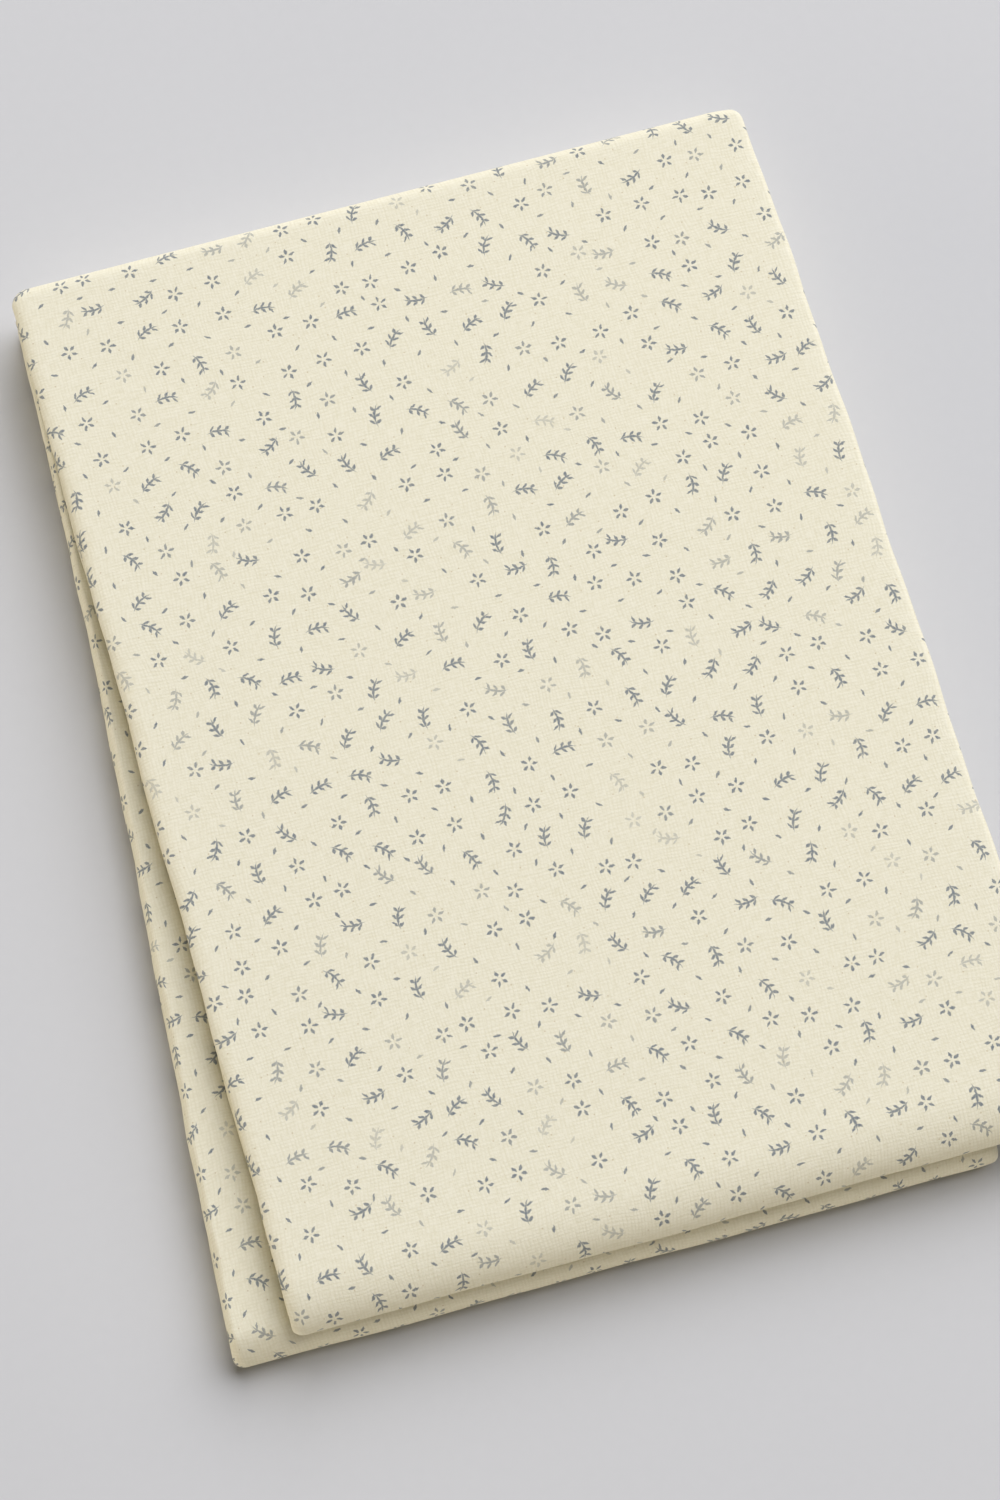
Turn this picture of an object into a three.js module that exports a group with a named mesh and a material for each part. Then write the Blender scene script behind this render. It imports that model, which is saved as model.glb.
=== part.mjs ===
// Folded quilting cotton: one cut length, in millimetres, +Z up, +Y towards the spine.
// The sides of the cloth are turned in to make a strip of three layers, both ends of the strip are
// turned in, and the strip is then folded in half at the spine, with its lower half a little askew.
import * as THREE from "three";

// Driving dimensions
const foldedLength = 228.6; // front fold to spine of the upper half, a quarter of 36 inches
const foldedWidth = 157; // side fold to side fold, about 6 inches
const sheetThickness = 1.1;
const layerGap = 0.35; // air between the three layers of the strip
const runGap = 0.4; // air between the two runs of strip in one half
const halfGap = 0.6; // air between the lower half and the upper one
const lowerLead = 1.0; // how far the front fold of the lower half stands out past the upper one
const spineSlant = 1.0; // how much further back the spine lies at its right end than at its left
const spineCornerRadius = 3.2; // middle of the strip where it turns down, and in again, at the spine
const spineInset = 1.2; // how far the side folds draw in where the strip goes round the spine
const rightFlapShort = 5; // the right flap stops this far short of the left side fold
const leftFlapShort = 6; // the left flap stops this far short of the right side fold
const rawEndShort = 3; // the ends of the strip stop this far short of the spine
const clothColour = "#e8e2ca";

// Steps of the faceted surface
const runSteps = 10;
const noseSteps = 10;
const spineCornerSteps = 6;
const sideFoldSteps = 8;
const flapFoldSteps = 6;

// Where the side folds lie across the width, at sections from the front fold, 0, to the spine, 1
const sideFolds = {
  upper: [
    { along: 0.0, left: -78.1, right: 78.5 },
    { along: 0.4, left: -77.9, right: 78.9 },
    { along: 0.65, left: -78.2, right: 79.0 },
    { along: 0.8, left: -78.6, right: 78.9 },
    { along: 1.0, left: -79.2, right: 78.3 },
  ],
  lower: [
    { along: 0.0, left: -90.7, right: 63.7 },
    { along: 0.25, left: -87.2, right: 67.4 },
    { along: 0.5, left: -83.7, right: 71.0 },
    { along: 0.9, left: -79.4, right: 77.0 },
    { along: 1.0, left: -79.2, right: 78.3 },
  ],
};

// Sizes that follow from the driving dimensions
const stripThickness = 3 * sheetThickness + 2 * layerGap;
const noseRadius = (stripThickness + runGap) / 2;
const frontY = -foldedLength / 2;
const spineY = foldedLength / 2;
const upperNoseY = frontY + noseRadius + stripThickness / 2;
const lowerNoseY = upperNoseY - lowerLead;
const spineWallY = spineY - stripThickness / 2;
const spineTurnY = spineWallY - spineCornerRadius;
const rawEndY = spineWallY - stripThickness / 2 - rawEndShort;

// Heights of the middle of the strip in its four runs, counted up from the floor
const runHeight = [stripThickness / 2];
for (const gap of [runGap, halfGap, runGap]) {
  runHeight.push(runHeight.at(-1) + stripThickness + gap);
}

// The places that the strip passes, from its inner end in the upper half to its inner end in the lower.
// Each has the middle of the strip, the way that its printed face looks, and how much its sides draw in.
const stations = [];

function addStation(half, y, z, faceY, faceZ, drawnIn = 0) {
  stations.push({ half, y, z, faceY, faceZ, drawnIn });
}

function addRun(half, level, fromY, toY, faceZ) {
  for (let step = 0; step <= runSteps; step += 1) {
    const y = THREE.MathUtils.lerp(fromY, toY, step / runSteps);
    addStation(half, y, runHeight[level], 0, faceZ);
  }
}

// A half turn at the front, from one level to the other, its printed face outwards
function addNose(half, centreY, fromLevel, toLevel) {
  const centreZ = (runHeight[fromLevel] + runHeight[toLevel]) / 2;
  const rise = Math.sign(toLevel - fromLevel);
  for (let step = 1; step < noseSteps; step += 1) {
    const angle = Math.PI * (step / noseSteps - 0.5);
    const faceY = -Math.cos(angle);
    const faceZ = rise * Math.sin(angle);
    addStation(half, centreY + noseRadius * faceY, centreZ + noseRadius * faceZ, faceY, faceZ);
  }
}

// A quarter turn at the top or the bottom of the spine
function addSpineCorner(half, level, fromAngle, toAngle) {
  const inward = half === "upper" ? -1 : 1;
  const centreZ = runHeight[level] + inward * spineCornerRadius;
  for (let step = 0; step <= spineCornerSteps; step += 1) {
    const angle = THREE.MathUtils.lerp(fromAngle, toAngle, step / spineCornerSteps);
    const faceY = Math.cos(angle);
    const faceZ = Math.sin(angle);
    const y = spineTurnY + spineCornerRadius * faceY;
    addStation(half, y, centreZ + spineCornerRadius * faceZ, faceY, faceZ, faceY);
  }
}

addRun("upper", 2, rawEndY, upperNoseY, -1);
addNose("upper", upperNoseY, 2, 3);
addRun("upper", 3, upperNoseY, spineTurnY - spineCornerRadius, 1);
addSpineCorner("upper", 3, Math.PI / 2, 0);
addSpineCorner("lower", 0, 0, -Math.PI / 2);
addRun("lower", 0, spineTurnY - spineCornerRadius, lowerNoseY, -1);
addNose("lower", lowerNoseY, 0, 1);
addRun("lower", 1, lowerNoseY, rawEndY, 1);

// The middle line of the cloth across the strip, from the raw edge of the right flap to that of the left
// flap. n counts outwards from the middle of the strip, so the printed face has the greatest n, the right
// flap lies in the middle and the left flap is innermost. sideX and sideN point square to the line.
function clothLine(left, right) {
  const pitch = sheetThickness + layerGap;
  const flapFold = { x: right - (pitch + sheetThickness) / 2, n: pitch / 2, radius: pitch / 2 };
  const sideFold = { x: left + stripThickness / 2, n: 0, radius: pitch };
  const line = [{ x: left + rightFlapShort, n: 0, sideX: 0, sideN: -1 }];
  for (let step = 0; step <= flapFoldSteps; step += 1) {
    const angle = Math.PI * (step / flapFoldSteps - 0.5);
    line.push(turnPoint(flapFold, angle));
  }
  for (let step = 0; step <= sideFoldSteps; step += 1) {
    const angle = Math.PI * (step / sideFoldSteps + 0.5);
    line.push(turnPoint(sideFold, angle));
  }
  line.push({ x: right - leftFlapShort, n: -pitch, sideX: 0, sideN: -1 });
  return line;
}

function turnPoint(fold, angle) {
  const sideX = Math.cos(angle);
  const sideN = Math.sin(angle);
  return { x: fold.x + fold.radius * sideX, n: fold.n + fold.radius * sideN, sideX, sideN };
}

// The outline of the cloth's thickness across the strip: one side of the line, then the other side back
function stripOutline(left, right) {
  const line = clothLine(left, right);
  const offset = (point, side) => ({
    x: point.x + (side * sheetThickness / 2) * point.sideX,
    n: point.n + (side * sheetThickness / 2) * point.sideN,
  });
  const printed = line.map((point) => offset(point, 1));
  const plain = line.map((point) => offset(point, -1)).reverse();
  return [...printed, ...plain];
}

// Smooth side lines through the table's sections
function sideLines(rows) {
  const places = rows.map((row) => row.along);
  const values = rows.flatMap((row) => [row.left, row.right]);
  return new THREE.CubicInterpolant(places, values, 2);
}

const sides = { upper: sideLines(sideFolds.upper), lower: sideLines(sideFolds.lower) };

function sectionAt(station) {
  const along = THREE.MathUtils.clamp((station.y - frontY) / foldedLength, 0, 1);
  const [left, right] = sides[station.half].evaluate(along);
  const inset = spineInset * station.drawnIn;
  return stripOutline(left + inset, right - inset).map(({ x, n }) => {
    const slant = spineSlant * along * (x / foldedWidth);
    return [x, station.y + station.faceY * n + slant, station.z + station.faceZ * n];
  });
}

// One closed skin: a ring of points at each station, joined ring to ring, with a cap at each raw end
function foldedClothGeometry() {
  const rings = stations.map(sectionAt);
  const ringSize = rings[0].length;
  const triangles = [];
  for (let ring = 0; ring + 1 < rings.length; ring += 1) {
    for (let side = 0; side < ringSize; side += 1) {
      const here = ring * ringSize + side;
      const beside = ring * ringSize + ((side + 1) % ringSize);
      triangles.push(here, here + ringSize, beside);
      triangles.push(beside, here + ringSize, beside + ringSize);
    }
  }
  const endOutline = stripOutline(-foldedWidth / 2, foldedWidth / 2);
  const endContour = endOutline.map(({ x, n }) => new THREE.Vector2(x, n));
  const lastRing = (rings.length - 1) * ringSize;
  for (const [a, b, c] of THREE.ShapeUtils.triangulateShape(endContour, [])) {
    triangles.push(a, b, c);
    triangles.push(lastRing + a, lastRing + c, lastRing + b);
  }
  const geometry = new THREE.BufferGeometry();
  geometry.setAttribute("position", new THREE.Float32BufferAttribute(rings.flat(2), 3));
  geometry.setIndex(triangles);
  geometry.computeVertexNormals();
  return geometry;
}

// The origin is under the middle of the folded cloth, on the surface that it rests on
function centreOnFloor(geometry) {
  geometry.computeBoundingBox();
  const { min, max } = geometry.boundingBox;
  geometry.translate(-(min.x + max.x) / 2, -(min.y + max.y) / 2, -min.z);
  return geometry;
}

const cotton = new THREE.MeshStandardMaterial({ color: clothColour, roughness: 0.9, metalness: 0 });
const foldedCloth = new THREE.Mesh(centreOnFloor(foldedClothGeometry()), cotton);
foldedCloth.name = "folded_cloth";

const group = new THREE.Group();
group.add(foldedCloth);

export default group;
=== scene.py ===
import math

import bpy
import numpy as np
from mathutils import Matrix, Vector


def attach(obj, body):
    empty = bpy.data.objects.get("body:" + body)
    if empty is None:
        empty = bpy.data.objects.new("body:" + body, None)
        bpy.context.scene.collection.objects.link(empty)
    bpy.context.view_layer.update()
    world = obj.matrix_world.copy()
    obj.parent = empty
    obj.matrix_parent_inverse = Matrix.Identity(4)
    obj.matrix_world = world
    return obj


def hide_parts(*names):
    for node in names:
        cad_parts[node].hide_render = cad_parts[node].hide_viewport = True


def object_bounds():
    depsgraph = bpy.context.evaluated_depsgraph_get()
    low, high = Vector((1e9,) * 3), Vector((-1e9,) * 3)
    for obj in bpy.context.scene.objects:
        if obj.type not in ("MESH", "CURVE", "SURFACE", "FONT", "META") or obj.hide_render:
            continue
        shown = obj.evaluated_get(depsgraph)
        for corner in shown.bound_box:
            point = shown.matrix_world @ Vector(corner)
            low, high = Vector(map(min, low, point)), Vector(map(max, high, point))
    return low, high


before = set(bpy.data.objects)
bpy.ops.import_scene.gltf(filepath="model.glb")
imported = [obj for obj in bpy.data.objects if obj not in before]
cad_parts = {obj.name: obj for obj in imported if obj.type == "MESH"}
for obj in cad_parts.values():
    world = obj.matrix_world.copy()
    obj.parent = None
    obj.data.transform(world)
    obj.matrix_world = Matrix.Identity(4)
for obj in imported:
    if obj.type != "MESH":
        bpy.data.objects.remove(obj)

cadLow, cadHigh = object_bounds()  # the solid's box, before anything is added
mm = 0.001
print("frame loaded, solid box", [round(side / mm, 1) for side in cadHigh - cadLow], "mm")


def linear(hexColour):  # sRGB hex to the linear colour that the shader takes
    parts = [int(hexColour[place:place + 2], 16) / 255 for place in (1, 3, 5)]
    return [p / 12.92 if p <= 0.04045 else ((p + 0.055) / 1.055) ** 2.4 for p in parts] + [1.0]


def addNode(tree, kind, settings=None, inputs=None):  # inputs are plain values or sockets to link from
    node = tree.nodes.new(kind)
    for name, value in (settings or {}).items():
        setattr(node, name, value)
    for name, value in (inputs or {}).items():
        if isinstance(value, bpy.types.NodeSocket):
            tree.links.new(value, node.inputs[name])
        else:
            node.inputs[name].default_value = value
    return node


# Folded cloth: a strip of three layers, its two ends turned in, then folded in half, as the solid is.
# Lengths are in mm from the middle of the upper half, front folds at -y and spine at +y.
cloth = {
    "length": 227.8,         # front fold to spine
    "width": 157.0,
    "strip": 4.0,            # three layers and the air between them
    "sheet": 0.9,            # a little thinner than the solid's sheet, level with its outer face
    "runGap": 0.4,           # between the two runs of one half
    "halfGap": 0.6,          # between the halves
    "sideSoft": 3.2,         # how far the upper half's left side fold takes to round over
    "sideSoftLower": 1.7,    # the same in the lower half
    "sideSoftAtEnds": 2.6,   # and at the front folds and the spine
    "bareLoft": 1.4,         # the lower half's top layer lifts where the upper half doesn't press on it
    "bareLoftReach": 5.0,    # over this far, from so far under the upper half's edge
    "bareLoftUnder": 2.4,
    "rightDroop": 0.5,       # the two layers at the right side fold sink past the third one's edge
    "rightFlapShort": 5.0,   # turned-in layers stop short of the opposite side
    "leftFlapShort": 6.0,
    "rawEndShort": 1.0,
    "cutEdge": 0.35,         # cut edges bulge by this share of the sheet
    "undersideFlat": 0.6,    # below 1 a front fold's underside stays flat further out
    "spineCorner": 2.3,      # bend of the strip's middle at the top and foot of the spine
    "spinePress": 0.75,      # below 1 the bend's outer face is pressed squarer
    "spineInset": 2.4,       # sides round in to the spine by this much
    "spineSlant": 1.0,       # spine lies this much further back at its right end
    "waverFade": 15.0,       # side folds run true this near to the front and the spine
    "rightWaver": 31.0,      # right side folds waver this far out of step with the left ones
    "flat": (0.460, 0.906),  # the cut cloth, in metres
}

# front folds: the top rolls over slowly and the fold is pressed thin at its tip
frontFolds = {
    "upper": {"tipY": -113.8, "slant": -0.6, "tipZ": 11.4, "reach": 10.3, "tipThick": 3.4, "insideZ": 12.0},
    "lower": {"tipY": -115.3, "slant": -0.9, "tipZ": 3.9, "reach": 6.5, "tipThick": 3.4, "insideZ": 4.1},
}

# where the side folds lie: along 0 is the front fold, 1 the spine
sideFolds = {
    "upper": [
        {"along": 0.0, "left": -78.4, "right": 78.6},
        {"along": 0.4, "left": -78.5, "right": 79.1},
        {"along": 0.65, "left": -78.7, "right": 79.2},
        {"along": 0.8, "left": -78.9, "right": 79.1},
        {"along": 1.0, "left": -79.4, "right": 78.5},
    ],
    "lower": [
        {"along": 0.0, "left": -90.7, "right": 62.5},
        {"along": 0.25, "left": -87.5, "right": 66.3},
        {"along": 0.5, "left": -83.9, "right": 70.5},
        {"along": 0.9, "left": -79.8, "right": 77.1},
        {"along": 1.0, "left": -79.4, "right": 78.5},
    ],
}

# small unevenness of the side folds along each run, and of the front folds across the width
sideWavers = [
    {"of": "upperInside", "size": 0.35, "wave": 61.0, "start": 12.0},
    {"of": "top", "size": 0.16, "wave": 47.0, "start": 5.0},
    {"of": "top", "size": 0.08, "wave": 19.0, "start": 8.0},
    {"of": "bottom", "size": 0.2, "wave": 58.0, "start": 30.0},
    {"of": "lowerInside", "size": 0.14, "wave": 41.0, "start": 21.0},
    {"of": "lowerInside", "size": 0.1, "wave": 17.0, "start": 3.0},
]
frontWavers = [
    {"of": "upper", "size": 0.1, "wave": 83.0, "start": 20.0},
    {"of": "upper", "size": 0.06, "wave": 27.0, "start": 4.0},
    {"of": "lower", "size": 0.1, "wave": 71.0, "start": -40.0},
    {"of": "lower", "size": 0.07, "wave": 31.0, "start": 11.0},
]

# soft troughs (depth below zero) and ridges, each a straight streak turned from the x axis
creases = [
    {"of": "upper", "x": -40.0, "y": 20.0, "turn": 84.0, "long": 70.0, "wide": 9.0, "depth": -0.10},
    {"of": "upper", "x": 22.0, "y": -30.0, "turn": 96.0, "long": 80.0, "wide": 11.0, "depth": 0.10},
    {"of": "upper", "x": 50.0, "y": 60.0, "turn": 20.0, "long": 45.0, "wide": 8.0, "depth": -0.08},
    {"of": "upper", "x": -20.0, "y": -80.0, "turn": 8.0, "long": 60.0, "wide": 10.0, "depth": 0.12},
    {"of": "upper", "x": -58.0, "y": 88.0, "turn": 150.0, "long": 26.0, "wide": 7.0, "depth": -0.12},
    {"of": "upper", "x": 5.0, "y": 92.0, "turn": 2.0, "long": 55.0, "wide": 8.0, "depth": 0.08},
    {"of": "lower", "x": -86.5, "y": -113.6, "turn": 35.0, "long": 4.0, "wide": 1.8, "depth": -0.5},
]

meshSteps = {
    "runs": {"upperInside": 16, "top": 116, "bottom": 16, "lowerInside": 60},
    "quarterFold": 18, "spineCorner": 14, "spineWall": 6,
    "printed": {"flap": 14, "face": 96, "flapFold": 10, "sideFold": 24},  # across the strip
    "plain": {"flap": 8, "face": 16, "flapFold": 6, "sideFold": 12},
}


# the strip's outer and inner face, from its cut end in the upper half to that in the lower
def pathStations():
    thick = cloth["strip"] / 2
    heights = [thick]
    for gap in (cloth["runGap"], cloth["halfGap"], cloth["runGap"]):
        heights.append(heights[-1] + cloth["strip"] + gap)
    wallY = cloth["length"] / 2 - thick
    turnY = wallY - cloth["spineCorner"]
    cutY = wallY - thick - cloth["rawEndShort"]
    stations = []

    def addStation(half, run, outerY, outerZ, innerY, innerZ, endShare):
        stations.append({"half": half, "run": run, "outerY": outerY, "outerZ": outerZ,
                         "innerY": innerY, "innerZ": innerZ, "endShare": endShare})

    def addRun(half, run, level, fromY, toY, up, skip=0):  # skip stations that the bend before has made
        for y in np.linspace(fromY, toY, meshSteps["runs"][run] + 1)[skip:]:
            addStation(half, run, y, heights[level] + up * thick, y, heights[level] - up * thick, 0.0)

    def addFrontFold(half, run, lowLevel):
        fold = frontFolds[half]
        steps = np.linspace(0.0, math.pi / 2, meshSteps["quarterFold"] + 1)
        turns = [(lowLevel, -1, angle) for angle in steps[::-1][1:]]
        turns += [(lowLevel + 1, 1, angle) for angle in steps[1:-1]]
        for level, up, angle in turns:
            back, rise = 1 - math.cos(angle), math.sin(angle)
            outerRise = rise if up > 0 else rise ** cloth["undersideFlat"]
            outerZ = fold["tipZ"] + (heights[level] + up * thick - fold["tipZ"]) * outerRise
            innerZ = fold["insideZ"] + (heights[level] - up * thick - fold["insideZ"]) * rise
            innerY = fold["tipY"] + fold["tipThick"] + (fold["reach"] - fold["tipThick"]) * back
            addStation(half, run, fold["tipY"] + fold["reach"] * back, outerZ, innerY, innerZ, 1 - back)

    def addSpineCorner(half, run, level, inward, angles):
        middle = heights[level] + inward * cloth["spineCorner"]
        outer, inner = cloth["spineCorner"] + thick, cloth["spineCorner"] - thick
        for angle in angles:
            y, z = math.cos(angle), math.sin(angle)
            outerY, outerZ = y ** cloth["spinePress"], math.copysign(abs(z) ** cloth["spinePress"], z)
            addStation(half, run, turnY + outer * outerY, middle + outer * outerZ,
                       turnY + inner * y, middle + inner * z, y)

    upperFront = frontFolds["upper"]["tipY"] + frontFolds["upper"]["reach"]
    lowerFront = frontFolds["lower"]["tipY"] + frontFolds["lower"]["reach"]
    quarter = np.linspace(0.0, math.pi / 2, meshSteps["spineCorner"] + 1)
    addRun("upper", "upperInside", 2, cutY, upperFront, -1)
    addFrontFold("upper", "top", 2)
    addRun("upper", "top", 3, upperFront, turnY, 1)
    addSpineCorner("upper", "top", 3, -1, quarter[::-1][1:])
    wall = np.linspace(heights[3] - cloth["spineCorner"], heights[0] + cloth["spineCorner"],
                       meshSteps["spineWall"] + 1)
    for z in wall[1:]:
        addStation("lower", "bottom", wallY + thick, z, wallY - thick, z, 1.0)
    addSpineCorner("lower", "bottom", 0, 1, -quarter[1:])
    addRun("lower", "bottom", 0, turnY, lowerFront, -1, skip=1)
    addFrontFold("lower", "lowerInside", 0)
    addRun("lower", "lowerInside", 1, lowerFront, cutY, 1)
    return stations


def clothAcross(steps):  # the cloth's middle line across the strip: right flap, face, left flap
    # x is a share of the way from left to right, plus mm, plus so many times the left fold's softness
    half, sheet = cloth["strip"] / 2, cloth["sheet"]
    faceN = half - sheet / 2
    flapRadius = faceN / 2
    flapX = -(flapRadius + sheet / 2)
    line = []

    def addStretch(start, end, n, sideN, count):
        for w in np.linspace(0.0, 1.0, count + 1):
            share, x, soft = (a + (b - a) * w for a, b in zip(start, end))
            line.append((share, x, soft, n, 0.0, sideN))

    addStretch((0, cloth["rightFlapShort"], 0), (1, flapX, 0), 0.0, -1.0, steps["flap"])
    for angle in np.linspace(-math.pi / 2, math.pi / 2, steps["flapFold"] + 1)[1:-1]:
        x, n = math.cos(angle), math.sin(angle)
        line.append((1, flapX + flapRadius * x, 0, flapRadius + flapRadius * n, x, n))
    addStretch((1, flapX, 0), (0, 0, 1), faceN, 1.0, steps["face"])
    for angle in np.linspace(math.pi / 2, 1.5 * math.pi, steps["sideFold"] + 1)[1:-1]:
        x, n = math.cos(angle), math.sin(angle)
        lean = math.hypot(x * faceN, n * cloth["sideSoft"])
        line.append((0, -x * sheet / 2, 1 + x, faceN * n, x * faceN / lean, n * cloth["sideSoft"] / lean))
    addStretch((0, 0, 1), (1, -cloth["leftFlapShort"], 0), -faceN, -1.0, steps["flap"])
    return np.array(line)


# printed side, round the cut edge, plain side back again, with the place on the flat cloth
def ringAcross():
    sheet, sides = cloth["sheet"], []
    for name, sign in (("printed", 0.5), ("plain", -0.5)):
        line = clothAcross(meshSteps[name])
        share, dx, soft, n, sideX, sideN = line.T
        x = share * cloth["width"] + dx + soft * cloth["sideSoft"]
        flat = np.concatenate([[0.0], np.cumsum(np.hypot(np.diff(x), np.diff(n)))])
        sides.append(np.stack([share, dx + sign * sheet * sideX, soft, n + sign * sheet * sideN,
                               flat, np.full(len(x), 0.5 + sign)], 1))
    printed, plain = sides
    roundEdge = np.array([0, cloth["cutEdge"] * sheet, 0, 0, 0, 0])
    return np.vstack([printed, (printed[-1] + plain[-1]) / 2 + roundEdge,
                      plain[::-1], (printed[0] + plain[0]) / 2 - roundEdge])


def waver(rows, name, place):
    return sum(row["size"] * np.sin(2 * math.pi * (place - row["start"]) / row["wave"])
               for row in rows if row["of"] == name)


def creaseHeight(half, x, y):
    total = np.zeros_like(x)
    for row in creases:
        if row["of"] == half:
            turn = math.radians(row["turn"])
            along = (x - row["x"]) * math.cos(turn) + (y - row["y"]) * math.sin(turn)
            across = (y - row["y"]) * math.cos(turn) - (x - row["x"]) * math.sin(turn)
            fall = (along / row["long"] * 2) ** 2 + (across / row["wide"] * 2) ** 2
            total += row["depth"] * np.exp(-fall)
    return total


def buildCloth():
    stations = pathStations()
    half, run = (np.array([station[name] for station in stations]) for name in ("half", "run"))
    outerY, outerZ, innerY, innerZ, endShare = (
        np.array([station[name] for station in stations])
        for name in ("outerY", "outerZ", "innerY", "innerZ", "endShare"))
    share, dx, soft, n, flatAcross, printed = ringAcross().T

    # side folds of each half, with their waver
    along = np.clip(outerY / cloth["length"] + 0.5, 0.0, 1.0)
    left, right = np.zeros_like(outerY), np.zeros_like(outerY)
    for name, rows in sideFolds.items():
        places = [row["along"] for row in rows]
        for edge, line in (("left", left), ("right", right)):
            smooth = np.polynomial.Polynomial.fit(places, [row[edge] for row in rows], len(rows) - 1)
            line[half == name] = smooth(along[half == name])
    fade = np.clip((cloth["length"] / 2 - np.abs(outerY)) / cloth["waverFade"], 0.0, 1.0)
    for name in meshSteps["runs"]:
        here = run == name
        left[here] += waver(sideWavers, name, outerY[here]) * fade[here]
        right[here] += waver(sideWavers, name, outerY[here] + cloth["rightWaver"]) * fade[here]
    inset = cloth["spineInset"] * (1 - np.sqrt(1 - endShare ** 2)) * (outerY > 0)
    softness = np.where(half == "upper", cloth["sideSoft"], cloth["sideSoftLower"])
    softness = softness + (cloth["sideSoftAtEnds"] - softness) * endShare
    left, right = left + inset, right - inset
    x = left[:, None] * (1 - share) + right[:, None] * share + dx + softness[:, None] * soft

    # the right side fold sinks beyond the cut edge of the layer under it
    fromRight = right[:, None] - x
    droop = cloth["rightDroop"] * np.clip(1 - fromRight / cloth["leftFlapShort"], 0.0, 1.0) ** 2
    depth = 0.5 + (n - droop) / cloth["strip"]  # 0 at the strip's inner face, 1 at its outer
    y = innerY[:, None] + (outerY - innerY)[:, None] * depth
    z = innerZ[:, None] + (outerZ - innerZ)[:, None] * depth

    # the bare strip of the lower half lifts
    upperRows = sideFolds["upper"]
    pressedTo = np.interp(along, [row["along"] for row in upperRows], [row["left"] for row in upperRows])
    bare = np.clip((pressedTo[:, None] + cloth["bareLoftUnder"] - x) / cloth["bareLoftReach"], 0.0, 1.0)
    lifted = cloth["bareLoft"] * bare ** 2 * (3 - 2 * bare) * np.clip(2 * depth - 1, 0.0, 1.0)
    z += lifted * ((run == "lowerInside") * (1 - endShare ** 2))[:, None]

    faceY, faceZ = outerY - innerY, outerZ - innerZ
    faceLong = np.hypot(faceY, faceZ)
    for name in ("upper", "lower"):
        top = (half == name) & (faceZ > 0)
        z[top] += creaseHeight(name, x[top], y[top]) * (faceZ / faceLong)[top][:, None]
        front = (half == name) & (faceY < -1e-6)
        uneven = frontFolds[name]["slant"] * x[front] / cloth["width"] + waver(frontWavers, name, x[front])
        y[front] += uneven * endShare[front][:, None]
    y += cloth["spineSlant"] * along[:, None] * x / cloth["width"]

    # the solid's box says where the middle of the upper half is
    x += cadLow.x / mm - sideFolds["lower"][0]["left"]
    y += cadLow.y / mm - frontFolds["lower"]["tipY"]
    points = np.stack([x, y, z], 2) * mm

    index = np.arange(x.size).reshape(x.shape)
    beside = np.roll(index, -1, axis=1)
    quads = np.stack([index[:-1], index[1:], beside[1:], beside[:-1]], 2).reshape(-1, 4)
    faces = quads.tolist() + [index[0].tolist(), index[-1][::-1].tolist()]
    mesh = bpy.data.meshes.new("foldedCotton")
    mesh.from_pydata(points.reshape(-1, 3).tolist(), [], faces)
    mesh.validate()
    mesh.shade_smooth()

    # flat cloth coordinates follow the outer face, so the print isn't stretched round the folds
    flatAlong = np.concatenate([[0.0], np.cumsum(np.hypot(np.diff(outerY), np.diff(outerZ)))])
    flat = np.stack(np.broadcast_arrays(flatAcross[None, :], flatAlong[:, None]), 2).reshape(-1, 2) * mm
    corners = np.empty(len(mesh.loops), dtype=np.int32)
    mesh.loops.foreach_get("vertex_index", corners)
    mesh.uv_layers.new(name="flatCloth").data.foreach_set("uv", flat[corners].astype(np.float32).ravel())
    facing = mesh.attributes.new("printedSide", "FLOAT", "POINT")
    facing.data.foreach_set("value", np.tile(printed, len(stations)).astype(np.float32))
    piece = bpy.data.objects.new("foldedCotton", mesh)
    bpy.context.collection.objects.link(piece)
    print("folded cloth:", len(mesh.vertices), "points, flat size",
          round(flatAcross.max()), "by", round(flatAlong.max()), "mm")
    return piece


# Quilting cotton: carded yarn in a plain weave, half bleached, with one pigment printed on its face.
# It gives the eye a dead matt cream with fine uneven threads and flecks, and slate marks sunk in the weave.
cotton = {
    # shade is a darker cream put into the weave's low places: painted shade between the threads and along
    # thin yarn
    "cream": "#e9e4cf", "shade": "#e0dac1", "fleck": "#b39b70", "ink": "#616d79",
    "threadPitch": 0.72,       # real threads are about 0.42 mm apart: drawn coarser, so that they show
    "wander": 3.0, "wanderScale": 0.045,  # threads stray by so many mm, in so many waves to a mm
    "slubLong": 2.4, "slubWide": 0.5,     # thick and thin places in the yarn
    "slubRange": (0.6, 1.4),
    "crowns": 0.6,             # height of the crossings, beside 1 for the thick places
    "weaveShadeRange": (0.25, 1.15),
    "relief": 0.1, "reliefStrength": 0.4,
    "fleckSpacing": 7.0, "fleckSize": 0.2, "fleckStrength": 0.5,
    "inkEdge": 0.09,
    "inkStray": 0.4, "inkStrayScale": 1.6,
    "inkOnThin": 0.7,          # share of the ink that thin yarn takes
    "inkThrough": 0.12,        # and that shows on the plain side
    "roughness": 0.88, "ior": 1.52, "specular": 0.3,
    "sheen": 0.1, "sheenRoughness": 0.6,
}


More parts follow.
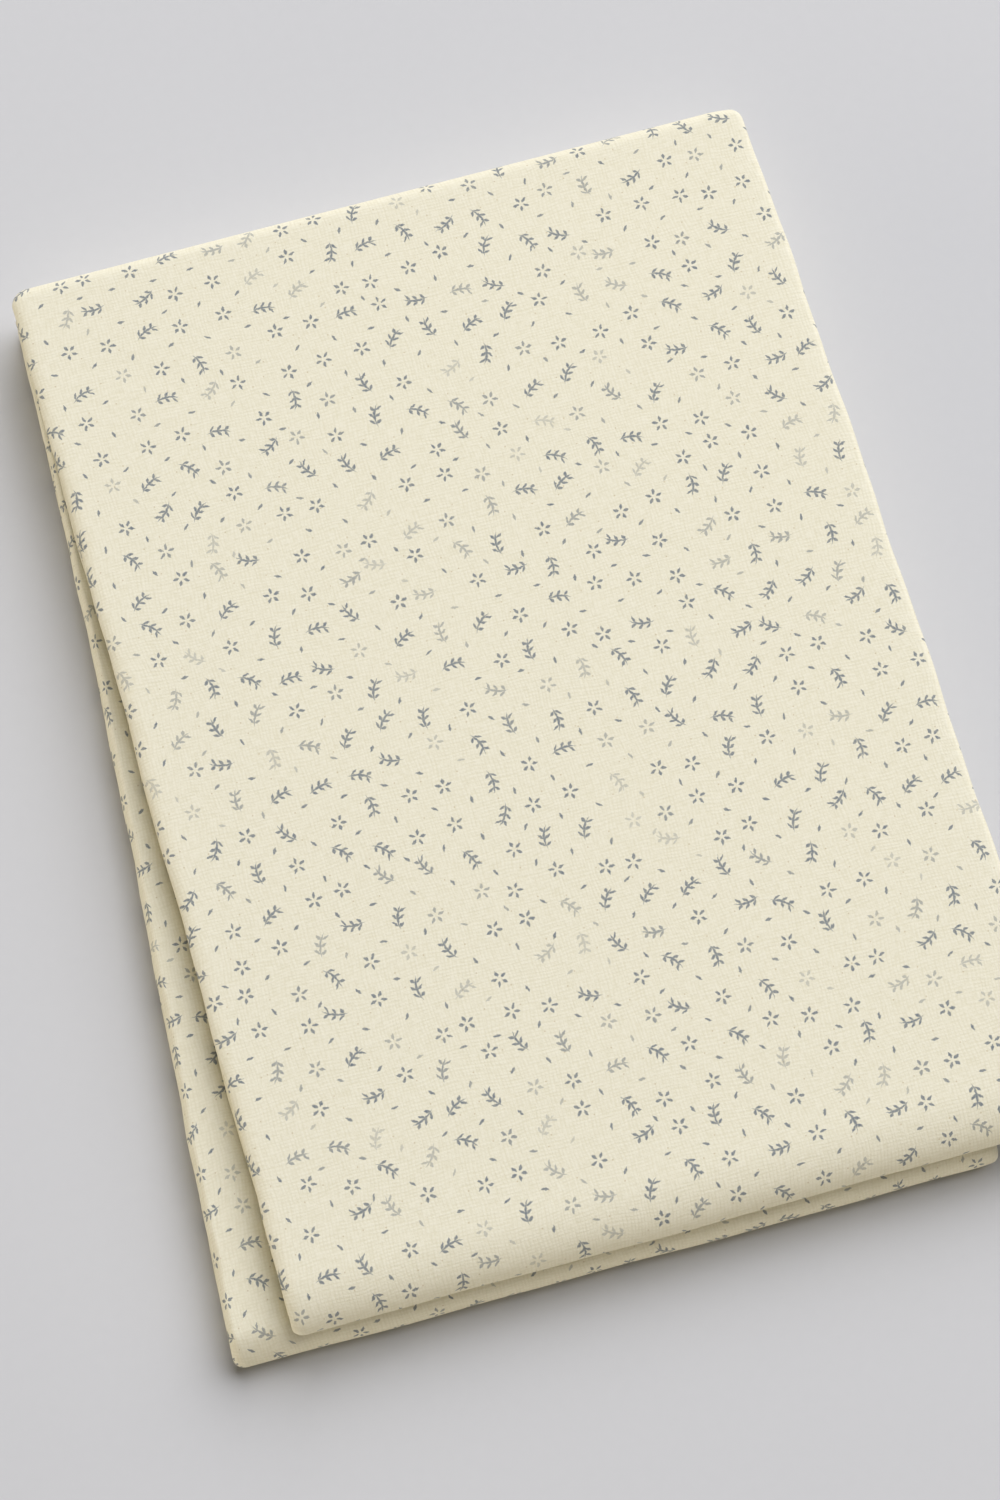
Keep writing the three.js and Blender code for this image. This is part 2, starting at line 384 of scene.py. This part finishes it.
def printedCotton():
    material = bpy.data.materials.new("printedQuiltingCotton")
    material.use_nodes = True
    tree = material.node_tree
    tree.nodes.clear()
    flat = addNode(tree, "ShaderNodeUVMap", {"uv_map": "flatCloth"})
    place = addNode(tree, "ShaderNodeVectorMath", {"operation": "SCALE"},
                    {0: flat.outputs[0], "Scale": 1 / mm})

    # threads wander a little, so the weave's lines aren't ruled
    drift = addNode(tree, "ShaderNodeTexNoise", {"noise_dimensions": "2D"},
                    {"Vector": place.outputs[0], "Scale": cotton["wanderScale"], "Detail": 2.0})
    wander = (cotton["wander"], cotton["wander"], 0.0)
    woven = addNode(tree, "ShaderNodeVectorMath", {"operation": "MULTIPLY_ADD"},
                    {0: drift.outputs["Color"], 1: wander, 2: place.outputs[0]})
    turns = addNode(tree, "ShaderNodeVectorMath", {"operation": "SCALE"},
                    {0: woven.outputs[0], "Scale": math.pi / cotton["threadPitch"]})
    wave = addNode(tree, "ShaderNodeVectorMath", {"operation": "SINE"}, {0: turns.outputs[0]})
    threads = addNode(tree, "ShaderNodeSeparateXYZ", {}, {0: wave.outputs[0]})
    over = addNode(tree, "ShaderNodeMath", {"operation": "MULTIPLY"},
                   {0: threads.outputs[0], 1: threads.outputs[1]})
    crowns = addNode(tree, "ShaderNodeMath", {"operation": "ABSOLUTE"}, {0: over.outputs[0]})

    # uneven yarn: thick and thin places, long one way and a thread or so wide the other way
    slubs = []
    longWay, wideWay = 1 / cotton["slubLong"], 1 / cotton["slubWide"]
    for stretch in ((longWay, wideWay, 1.0), (wideWay, longWay, 1.0)):
        streak = addNode(tree, "ShaderNodeVectorMath", {"operation": "MULTIPLY"},
                         {0: woven.outputs[0], 1: stretch})
        slub = addNode(tree, "ShaderNodeTexNoise", {"noise_dimensions": "2D"},
                       {"Vector": streak.outputs[0], "Scale": 1.0, "Detail": 2.0, "Roughness": 0.6})
        slubs.append(slub.outputs["Fac"])
    slub = addNode(tree, "ShaderNodeMath", {"operation": "ADD"}, {0: slubs[0], 1: slubs[1]})
    thin, thick = cotton["slubRange"]
    yarn = addNode(tree, "ShaderNodeMapRange", {},
                   {"Value": slub.outputs[0], "From Min": thin, "From Max": thick})
    relief = addNode(tree, "ShaderNodeMath", {"operation": "MULTIPLY_ADD"},
                     {0: crowns.outputs[0], 1: cotton["crowns"], 2: yarn.outputs[0]})
    # the weave's low places take the shade colour: painted shade in the hollows between the threads and
    # along thin yarn, added to the bump's own shading
    low, high = cotton["weaveShadeRange"]
    weaveShadeTone = addNode(tree, "ShaderNodeMapRange", {},
                   {"Value": relief.outputs[0], "From Min": low, "From Max": high})
    ground = addNode(tree, "ShaderNodeMix", {"data_type": "RGBA"},
                     {"Factor": weaveShadeTone.outputs[0], 6: linear(cotton["shade"]), 7: linear(cotton["cream"])})

    # bits of husk left in the yarn
    husk = addNode(tree, "ShaderNodeTexVoronoi", {"voronoi_dimensions": "2D"},
                   {"Vector": place.outputs[0], "Scale": 1 / cotton["fleckSpacing"]})
    fleckSize = cotton["fleckSize"] / cotton["fleckSpacing"]
    fleck = addNode(tree, "ShaderNodeMapRange", {}, {
        "Value": husk.outputs["Distance"],
        "From Min": fleckSize, "From Max": fleckSize / 2, "To Max": cotton["fleckStrength"]})
    ground = addNode(tree, "ShaderNodeMix", {"data_type": "RGBA"},
                     {"Factor": fleck.outputs[0], 6: ground.outputs[2], 7: linear(cotton["fleck"])})

    # the ink's edges stray, it takes less well on thin yarn, and a ghost of it shows on the plain side
    rough = addNode(tree, "ShaderNodeTexNoise", {"noise_dimensions": "2D"},
                    {"Vector": place.outputs[0], "Scale": cotton["inkStrayScale"], "Detail": 1.0})
    stray = (cotton["inkStray"], cotton["inkStray"], 0.0)
    inked = addNode(tree, "ShaderNodeVectorMath", {"operation": "MULTIPLY_ADD"},
                    {0: rough.outputs["Color"], 1: stray, 2: place.outputs[0]})
    ink = printedMarks(tree, inked.outputs[0])
    side = addNode(tree, "ShaderNodeAttribute", {"attribute_name": "printedSide"})
    through = addNode(tree, "ShaderNodeMapRange", {},
                      {"Value": side.outputs["Fac"], "To Min": cotton["inkThrough"], "To Max": 1.0})
    taken = addNode(tree, "ShaderNodeMapRange", {},
                    {"Value": relief.outputs[0], "From Max": 1.5, "To Min": cotton["inkOnThin"]})
    shown = addNode(tree, "ShaderNodeMath", {"operation": "MULTIPLY"},
                    {0: through.outputs[0], 1: taken.outputs[0]})
    inkShare = addNode(tree, "ShaderNodeMath", {"operation": "MULTIPLY"}, {0: ink, 1: shown.outputs[0]})
    face = addNode(tree, "ShaderNodeMix", {"data_type": "RGBA"},
                   {"Factor": inkShare.outputs[0], 6: ground.outputs[2], 7: linear(cotton["ink"])})

    bump = addNode(tree, "ShaderNodeBump", {}, {
        "Height": relief.outputs[0],
        "Strength": cotton["reliefStrength"], "Distance": cotton["relief"] * mm})
    shader = addNode(tree, "ShaderNodeBsdfPrincipled", {}, {
        "Base Color": face.outputs[2], "Normal": bump.outputs[0],
        "Roughness": cotton["roughness"], "IOR": cotton["ior"], "Specular IOR Level": cotton["specular"],
        "Sheen Weight": cotton["sheen"], "Sheen Roughness": cotton["sheenRoughness"],
        "Sheen Tint": linear(cotton["cream"])})
    addNode(tree, "ShaderNodeOutputMaterial", {}, {"Surface": shader.outputs[0]})
    print("material:", material.name, len(tree.nodes), "nodes")
    return material


# Printed marks, in mm: sprigs and florets tossed one to a cell, with seeds where the cells' corners meet
marks = {
    "spacing": 8.0,
    "toss": 0.4, "seedToss": 0.15,         # shares of a cell that a mark strays over
    "floretsAbove": 0.58,                  # chance above which a cell holds a floret
    "fadedBelow": 0.3,                     # chance below which a mark is printed paler
    "faintInk": 0.35, "fullInk": 0.95,
    "stem": {"bend": 0.09, "halfLong": 2.5, "halfWide": 0.24},
    "leaves": {"halfGap": 0.75, "foot": -0.45, "turn": -50.0, "upTo": 2.25},
    "leaf": {"middle": 0.4, "halfLong": 0.72, "halfWide": 0.27},
    "petals": 5,
    "petal": {"middle": 1.1, "halfLong": 0.68, "halfWide": 0.3},
    "seed": {"middle": 0.0, "halfLong": 0.8, "halfWide": 0.27},
}


def printedMarks(tree, place):
    big = tossedCells(tree, place, (0.0, 0.0, 0.0), marks["toss"])
    sprig = sprigShape(tree, big["local"])
    floret = floretShape(tree, big["local"])
    isFloret = addNode(tree, "ShaderNodeMath", {"operation": "GREATER_THAN"},
                       {0: big["kind"], 1: marks["floretsAbove"]})
    mark = addNode(tree, "ShaderNodeMix", {}, {0: isFloret.outputs[0], 2: sprig, 3: floret})
    small = tossedCells(tree, place, (0.5, 0.5, 0.0), marks["seedToss"])
    seedXy = addNode(tree, "ShaderNodeSeparateXYZ", {}, {0: small["local"]})
    seed = leafShape(tree, seedXy.outputs[0], seedXy.outputs[1], **marks["seed"])
    inks = []
    for shape, cell in ((mark.outputs[0], big), (seed, small)):
        drawn = addNode(tree, "ShaderNodeMapRange", {"interpolation_type": "SMOOTHSTEP"},
                        {"Value": shape, "From Min": cotton["inkEdge"], "From Max": -cotton["inkEdge"]})
        strength = addNode(tree, "ShaderNodeMapRange", {}, {
            "Value": cell["fade"], "From Max": marks["fadedBelow"],
            "To Min": marks["faintInk"], "To Max": marks["fullInk"]})
        ink = addNode(tree, "ShaderNodeMath", {"operation": "MULTIPLY"},
                      {0: drawn.outputs[0], 1: strength.outputs[0]})
        inks.append(ink.outputs[0])
    return addNode(tree, "ShaderNodeMath", {"operation": "MAXIMUM"}, {0: inks[0], 1: inks[1]}).outputs[0]


def tossedCells(tree, place, offset, toss):  # square cells, a mark turned any way near the middle of each
    spacing = marks["spacing"]
    grid = addNode(tree, "ShaderNodeVectorMath", {"operation": "MULTIPLY_ADD"},
                   {0: place, 1: (1 / spacing, 1 / spacing, 0.0), 2: offset})
    cell = addNode(tree, "ShaderNodeVectorMath", {"operation": "FLOOR"}, {0: grid.outputs[0]})
    inCell = addNode(tree, "ShaderNodeVectorMath", {"operation": "FRACTION"}, {0: grid.outputs[0]})
    chance = addNode(tree, "ShaderNodeTexWhiteNoise", {"noise_dimensions": "2D"},
                     {"Vector": cell.outputs[0]})
    nearest = 0.5 - toss / 2
    centre = addNode(tree, "ShaderNodeVectorMath", {"operation": "MULTIPLY_ADD"},
                     {0: chance.outputs["Color"], 1: (toss, toss, 0.0), 2: (nearest, nearest, 0)})
    off = addNode(tree, "ShaderNodeVectorMath", {"operation": "SUBTRACT"},
                  {0: inCell.outputs[0], 1: centre.outputs[0]})
    local = addNode(tree, "ShaderNodeVectorMath", {"operation": "SCALE"},
                    {0: off.outputs[0], "Scale": spacing})
    angle = addNode(tree, "ShaderNodeMath", {"operation": "MULTIPLY"},
                    {0: chance.outputs["Value"], 1: 2 * math.pi})
    turned = addNode(tree, "ShaderNodeVectorRotate", {"rotation_type": "Z_AXIS"},
                     {"Vector": local.outputs[0], "Angle": angle.outputs[0]})
    # a second draw, well away from the first
    other = addNode(tree, "ShaderNodeVectorMath", {"operation": "ADD"},
                    {0: cell.outputs[0], 1: (57.0, 91.0, 0.0)})
    fade = addNode(tree, "ShaderNodeTexWhiteNoise", {"noise_dimensions": "2D"}, {"Vector": other.outputs[0]})
    kind = addNode(tree, "ShaderNodeSeparateColor", {}, {0: chance.outputs["Color"]})
    return {"local": turned.outputs[0], "kind": kind.outputs[2], "fade": fade.outputs["Value"]}


def leafShape(tree, along, across, middle, halfLong, halfWide):  # pointed leaf, below zero inside
    reach = addNode(tree, "ShaderNodeMath", {"operation": "MULTIPLY_ADD"},
                    {0: along, 1: 1 / halfLong, 2: -middle / halfLong})
    square = addNode(tree, "ShaderNodeMath", {"operation": "MULTIPLY"},
                     {0: reach.outputs[0], 1: reach.outputs[0]})
    taper = addNode(tree, "ShaderNodeMath", {"operation": "MULTIPLY_ADD"},
                    {0: square.outputs[0], 1: halfWide, 2: -halfWide})
    width = addNode(tree, "ShaderNodeMath", {"operation": "ABSOLUTE"}, {0: across})
    shape = addNode(tree, "ShaderNodeMath", {"operation": "ADD"}, {0: taper.outputs[0], 1: width.outputs[0]})
    return shape.outputs[0]


def sprigShape(tree, local):  # a bent stem with three pairs of slanted leaves
    stem, leaves = marks["stem"], marks["leaves"]
    xy = addNode(tree, "ShaderNodeSeparateXYZ", {}, {0: local})
    square = addNode(tree, "ShaderNodeMath", {"operation": "MULTIPLY"}, {0: xy.outputs[0], 1: xy.outputs[0]})
    across = addNode(tree, "ShaderNodeMath", {"operation": "MULTIPLY_ADD"},
                     {0: square.outputs[0], 1: -stem["bend"], 2: xy.outputs[1]})
    stemShape = leafShape(tree, xy.outputs[0], across.outputs[0], 0.0, stem["halfLong"], stem["halfWide"])
    pair = addNode(tree, "ShaderNodeMath", {"operation": "WRAP"},
                   {0: xy.outputs[0], 1: leaves["halfGap"], 2: -leaves["halfGap"]})
    mirrored = addNode(tree, "ShaderNodeMath", {"operation": "ABSOLUTE"}, {0: across.outputs[0]})
    leaf = addNode(tree, "ShaderNodeCombineXYZ", {}, {0: pair.outputs[0], 1: mirrored.outputs[0]})
    turned = addNode(tree, "ShaderNodeVectorRotate", {"rotation_type": "Z_AXIS"}, {
        "Vector": leaf.outputs[0],
        "Center": (leaves["foot"], 0.0, 0.0), "Angle": math.radians(leaves["turn"])})
    leafXy = addNode(tree, "ShaderNodeSeparateXYZ", {}, {0: turned.outputs[0]})
    leafPairs = leafShape(tree, leafXy.outputs[0], leafXy.outputs[1], **marks["leaf"])
    reach = addNode(tree, "ShaderNodeMath", {"operation": "ABSOLUTE"}, {0: xy.outputs[0]})
    past = addNode(tree, "ShaderNodeMath", {"operation": "GREATER_THAN"},
                   {0: reach.outputs[0], 1: leaves["upTo"]})
    kept = addNode(tree, "ShaderNodeMath", {"operation": "ADD"}, {0: leafPairs, 1: past.outputs[0]})
    both = addNode(tree, "ShaderNodeMath", {"operation": "MINIMUM"}, {0: stemShape, 1: kept.outputs[0]})
    return both.outputs[0]


def floretShape(tree, local):  # petals round an open middle
    halfPetal = math.pi / marks["petals"]
    xy = addNode(tree, "ShaderNodeSeparateXYZ", {}, {0: local})
    angle = addNode(tree, "ShaderNodeMath", {"operation": "ARCTAN2"}, {0: xy.outputs[1], 1: xy.outputs[0]})
    petal = addNode(tree, "ShaderNodeMath", {"operation": "WRAP"},
                    {0: angle.outputs[0], 1: halfPetal, 2: -halfPetal})
    radius = addNode(tree, "ShaderNodeVectorMath", {"operation": "LENGTH"}, {0: local}).outputs["Value"]
    cosine = addNode(tree, "ShaderNodeMath", {"operation": "COSINE"}, {0: petal.outputs[0]})
    sine = addNode(tree, "ShaderNodeMath", {"operation": "SINE"}, {0: petal.outputs[0]})
    along = addNode(tree, "ShaderNodeMath", {"operation": "MULTIPLY"}, {0: radius, 1: cosine.outputs[0]})
    across = addNode(tree, "ShaderNodeMath", {"operation": "MULTIPLY"}, {0: radius, 1: sine.outputs[0]})
    return leafShape(tree, along.outputs[0], across.outputs[0], **marks["petal"])


# Floor: matt painted board, sprayed and sanded, so it only gives back soft light
floorBoard = {"size": 8.0, "paint": "#cbcbcc", "roughness": 0.75, "mottle": 0.012, "mottleSize": 2.5}


def buildFloor():
    half = floorBoard["size"] / 2
    mesh = bpy.data.meshes.new("floorBoard")
    edges = [(-half, -half, 0), (half, -half, 0), (half, half, 0), (-half, half, 0)]
    mesh.from_pydata(edges, [], [(0, 1, 2, 3)])
    board = bpy.data.objects.new("floorBoard", mesh)
    bpy.context.collection.objects.link(board)
    paint = bpy.data.materials.new("mattPaintedBoard")
    paint.use_nodes = True
    tree = paint.node_tree
    tree.nodes.clear()
    where = addNode(tree, "ShaderNodeTexCoord")
    mottle = addNode(tree, "ShaderNodeTexNoise", {}, {
        "Vector": where.outputs["Object"], "Scale": 1 / (floorBoard["mottleSize"] * mm)})
    bright = addNode(tree, "ShaderNodeMapRange", {}, {
        "Value": mottle.outputs["Fac"],
        "To Min": 1 - floorBoard["mottle"], "To Max": 1 + floorBoard["mottle"]})
    shade = addNode(tree, "ShaderNodeHueSaturation", {}, {
        "Value": bright.outputs[0], "Color": linear(floorBoard["paint"])})
    shader = addNode(tree, "ShaderNodeBsdfPrincipled", {}, {
        "Base Color": shade.outputs[0], "Roughness": floorBoard["roughness"], "Specular IOR Level": 0.2})
    addNode(tree, "ShaderNodeOutputMaterial", {}, {"Surface": shader.outputs[0]})
    mesh.materials.append(paint)
    print("floor:", floorBoard["size"], "m")
    return board


# Camera at the photograph's angle, in mm; one very large soft light from behind on the right,
# white cards standing low in front and on the left, and a dim room
shot = {"azimuth": -15.81, "elevation": 69.75, "distance": 849.7, "aim": (-1.5, -5.58, 0.0), "lens": 100.8}
softbox = {"azimuth": 45.0, "elevation": 51.0, "distance": 4.0, "size": 4.6,
           "watts": 279.0, "colour": "#fcfcff"}
cards = [
    {"azimuth": -90.0, "distance": 3.6, "wide": 7.0, "high": 0.8, "watts": 45.0, "colour": "#fff3dc"},
    {"azimuth": 180.0, "distance": 3.6, "wide": 7.0, "high": 0.8, "watts": 88.0, "colour": "#fff3dc"},
]
room = {"colour": "#fdfdff", "strength": 0.04}


def addLamp(name, lamp, place, size):  # a rectangular light turned to the cloth
    data = bpy.data.lights.new(name, "AREA")
    data.shape = "RECTANGLE"
    data.size, data.size_y = size
    data.energy = lamp["watts"]
    data.color = linear(lamp["colour"])[:3]
    holder = bpy.data.objects.new(name, data)
    holder.location = place
    holder.rotation_euler = place.to_track_quat("Z", "Y").to_euler()
    bpy.context.collection.objects.link(holder)


def setShot():
    scene = bpy.context.scene
    data = bpy.data.cameras.new("shot")
    data.lens = shot["lens"]
    data.sensor_width = 36.0
    turn, rise = math.radians(shot["azimuth"]), math.radians(shot["elevation"])
    back = Vector((math.sin(turn) * math.cos(rise), -math.cos(turn) * math.cos(rise), math.sin(rise)))
    eye = bpy.data.objects.new("shot", data)
    eye.location = (Vector(shot["aim"]) + back * shot["distance"]) * mm
    eye.rotation_euler = back.to_track_quat("Z", "Y").to_euler()
    bpy.context.collection.objects.link(eye)
    scene.camera = eye

    turn, rise = math.radians(softbox["azimuth"]), math.radians(softbox["elevation"])
    towards = Vector((math.cos(turn) * math.cos(rise), math.sin(turn) * math.cos(rise), math.sin(rise)))
    addLamp("softbox", softbox, towards * softbox["distance"], (softbox["size"], softbox["size"]))
    for card in cards:
        turn = math.radians(card["azimuth"])
        place = Vector((math.cos(turn), math.sin(turn), 0.0)) * card["distance"]
        place.z = card["high"] / 2
        addLamp("card", card, place, (card["wide"], card["high"]))

    world = bpy.data.worlds.new("dimRoom")
    world.use_nodes = True
    walls = world.node_tree.nodes["Background"]
    walls.inputs["Color"].default_value = linear(room["colour"])
    walls.inputs["Strength"].default_value = room["strength"]
    scene.world = world
    scene.view_settings.view_transform = "Standard"
    print("camera at", [round(c, 3) for c in eye.location], "with", 1 + len(cards), "lights")


setShot()
floorPiece = buildFloor()
clothPiece = buildCloth()
clothPiece.data.materials.append(printedCotton())
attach(clothPiece, "root")
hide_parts("folded_cloth")
